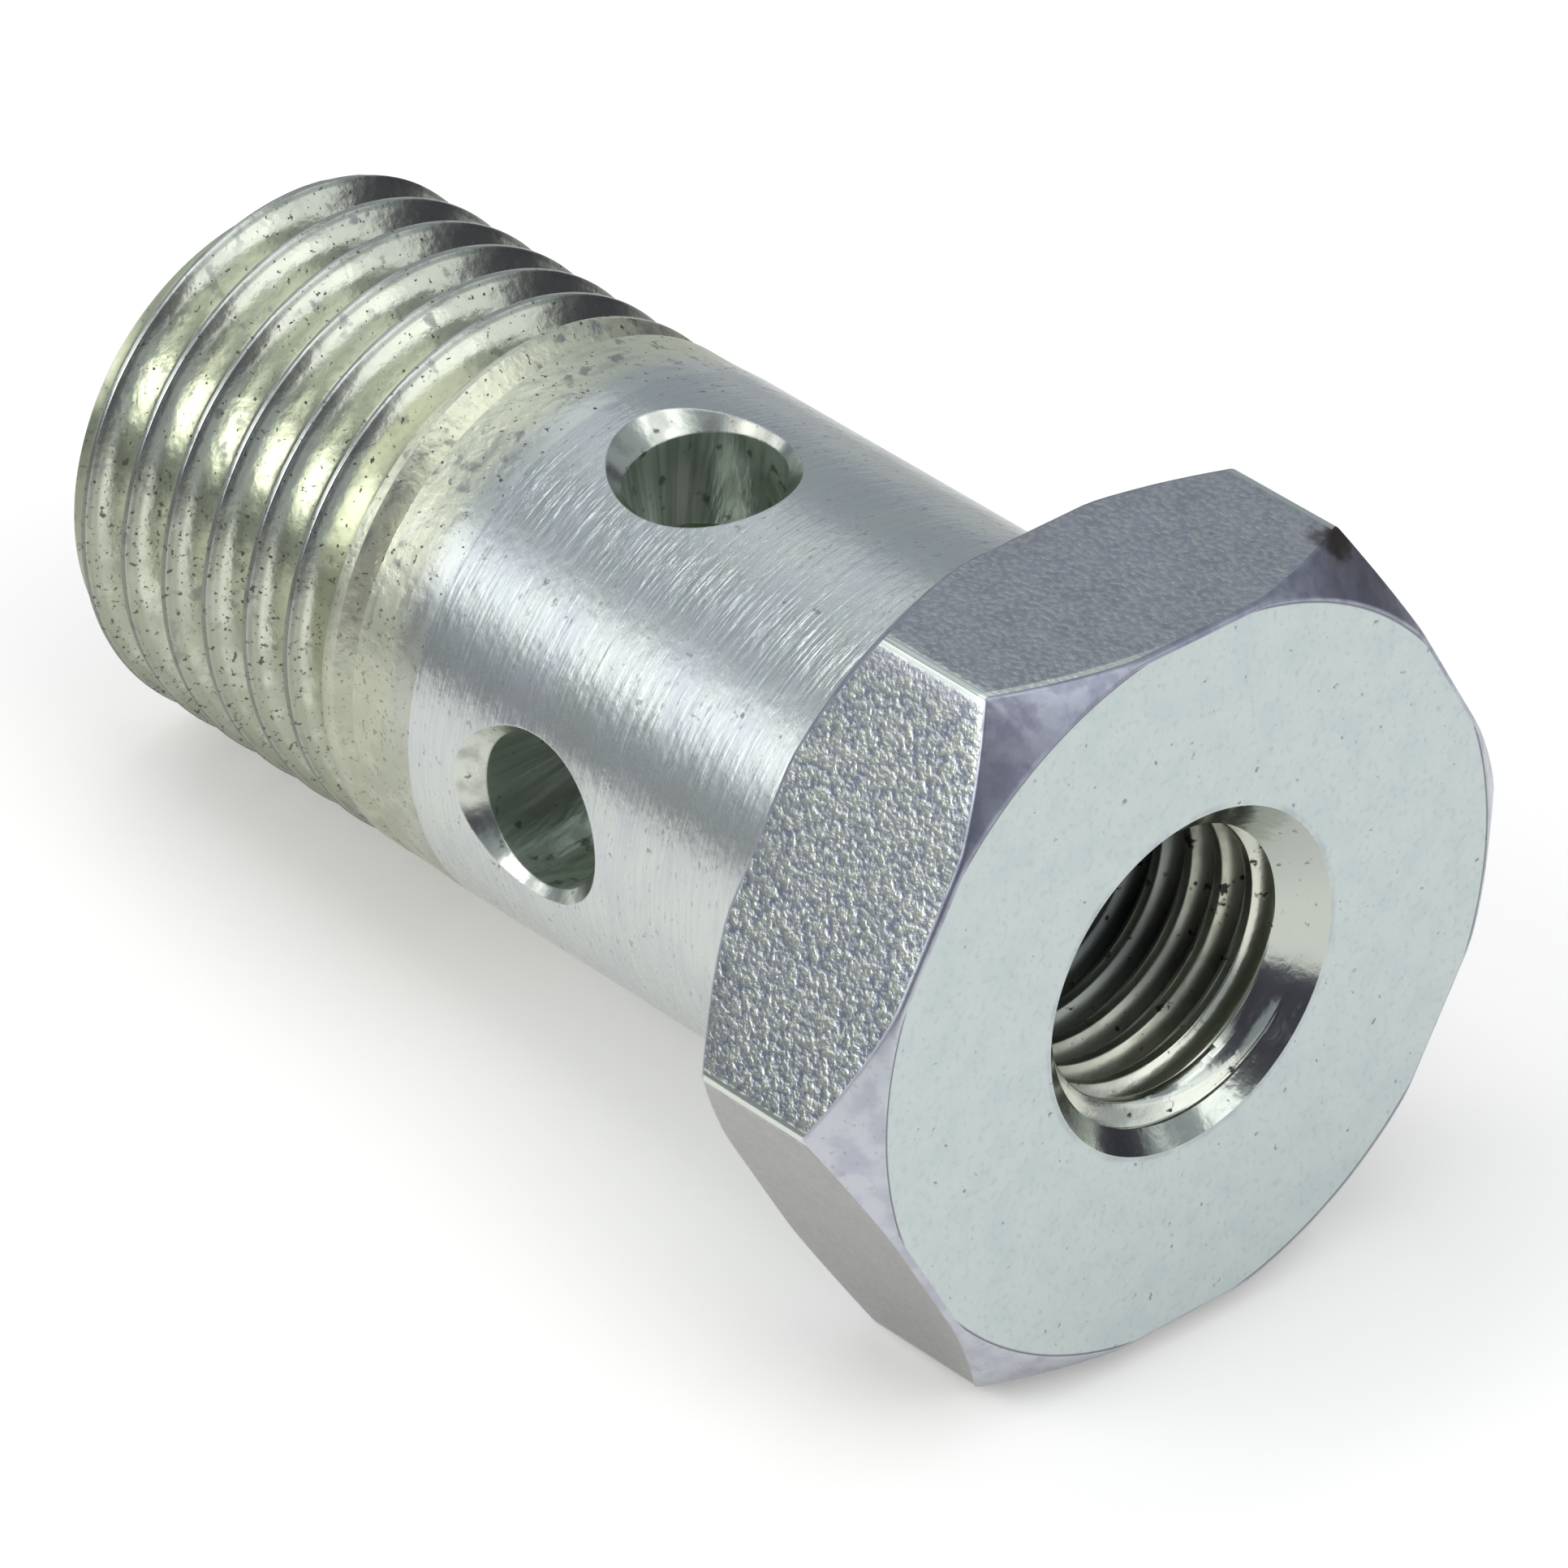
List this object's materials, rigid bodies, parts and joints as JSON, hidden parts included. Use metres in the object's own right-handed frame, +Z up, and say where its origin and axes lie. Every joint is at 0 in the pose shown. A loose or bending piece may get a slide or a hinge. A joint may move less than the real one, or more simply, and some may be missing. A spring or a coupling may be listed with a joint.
{
  "type": "banjo bolt",
  "caption": "Hollow hexagon-head banjo bolt with a tapped head, cross-drilled smooth shank and short threaded end.",
  "frame": {"origin": "on the floor, under the middle of the bolt's bounding box, as it lies on one flat of its head and its thread end", "axes": "+Z up, +X towards the head's front face, -X towards the thread end; the bolt's own axis lies in the XZ plane and falls 5.4 degrees towards -X"},
  "size_m": [0.034, 0.0218, 0.0193],
  "materials": {
    "zinc_plated_steel": "zinc plated, clear passivated, satin"
  },
  "bodies": {
    "root": {"banjo_bolt": "zinc_plated_steel"}
  },
  "joints": []
}
